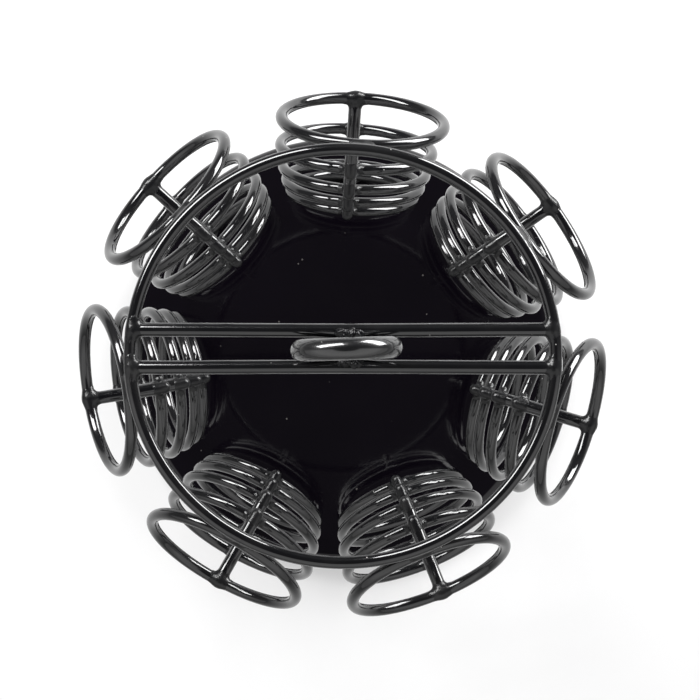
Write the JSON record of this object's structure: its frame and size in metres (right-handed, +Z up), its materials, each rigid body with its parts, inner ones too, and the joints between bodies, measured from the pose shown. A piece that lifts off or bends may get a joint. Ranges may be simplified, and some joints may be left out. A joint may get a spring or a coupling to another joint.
{
  "type": "spice carousel",
  "caption": "Countertop carousel of black wire rings in columns that tilt jars outwards, on a spinning ball-race turntable with a finger-ring handle.",
  "frame": {"origin": "on the spin axis, at the plane the rubber feet stand on", "axes": "+Z up the spin axis to the handle, +X along the crossbars, +Y towards the first column of rings, which stands a few degrees clockwise of it"},
  "size_m": [0.179, 0.179, 0.3219],
  "materials": {
    "black_wire": "gloss",
    "black_disc": "high gloss",
    "black_base": "satin",
    "race_steel": "zinc plated",
    "ball_steel": "polished",
    "cage_plastic": "matt",
    "rivet_steel": "gloss",
    "washer_plastic": "matt",
    "foot_rubber": "matt"
  },
  "bodies": {
    "base": {"base_plate": "black_base", "lower_race": "race_steel", "pivot_rivet": "rivet_steel", "pivot_washer": "washer_plastic", "rubber_foot_1": "foot_rubber", "rubber_foot_2": "foot_rubber", "rubber_foot_3": "foot_rubber", "rubber_foot_4": "foot_rubber"},
    "ball_set": {"ball_cage": "cage_plastic", "bearing_balls": "ball_steel"},
    "carousel": {"turntable_disc": "black_disc", "upper_race": "race_steel", "jar_ring_c1_t1": "black_wire", "jar_ring_c1_t2": "black_wire", "jar_ring_c1_t3": "black_wire", "jar_ring_c1_t4": "black_wire", "jar_ring_c1_t5": "black_wire", "jar_ring_c2_t1": "black_wire", "jar_ring_c2_t2": "black_wire", "jar_ring_c2_t3": "black_wire", "jar_ring_c2_t4": "black_wire", "jar_ring_c2_t5": "black_wire", "jar_ring_c3_t1": "black_wire", "jar_ring_c3_t2": "black_wire", "jar_ring_c3_t3": "black_wire", "jar_ring_c3_t4": "black_wire", "jar_ring_c3_t5": "black_wire", "jar_ring_c4_t1": "black_wire", "jar_ring_c4_t2": "black_wire", "jar_ring_c4_t3": "black_wire", "jar_ring_c4_t4": "black_wire", "jar_ring_c4_t5": "black_wire", "jar_ring_c5_t1": "black_wire", "jar_ring_c5_t2": "black_wire", "jar_ring_c5_t3": "black_wire", "jar_ring_c5_t4": "black_wire", "jar_ring_c5_t5": "black_wire", "jar_ring_c6_t1": "black_wire", "jar_ring_c6_t2": "black_wire", "jar_ring_c6_t3": "black_wire", "jar_ring_c6_t4": "black_wire", "jar_ring_c6_t5": "black_wire", "jar_ring_c7_t1": "black_wire", "jar_ring_c7_t2": "black_wire", "jar_ring_c7_t3": "black_wire", "jar_ring_c7_t4": "black_wire", "jar_ring_c7_t5": "black_wire", "column_1_struts": "black_wire", "column_2_struts": "black_wire", "column_3_struts": "black_wire", "column_4_struts": "black_wire", "column_5_struts": "black_wire", "column_6_struts": "black_wire", "column_7_struts": "black_wire", "frame_ring": "black_wire", "crossbar_front": "black_wire", "crossbar_rear": "black_wire", "handle_ring": "black_wire"}
  },
  "joints": [
    {"name": "carousel_spin", "type": "hinge", "parent": "base", "child": "carousel", "pos_m": [0, 0, 0.009], "axis": [0, 0, 1], "continuous": true},
    {"name": "ball_set_orbit", "type": "hinge", "parent": "base", "child": "ball_set", "pos_m": [0, 0, 0.009], "axis": [0, 0, 1], "continuous": true}
  ],
  "couplings": [
    {"joint": "ball_set_orbit", "follows": "carousel_spin", "ratio": 0.5}
  ]
}
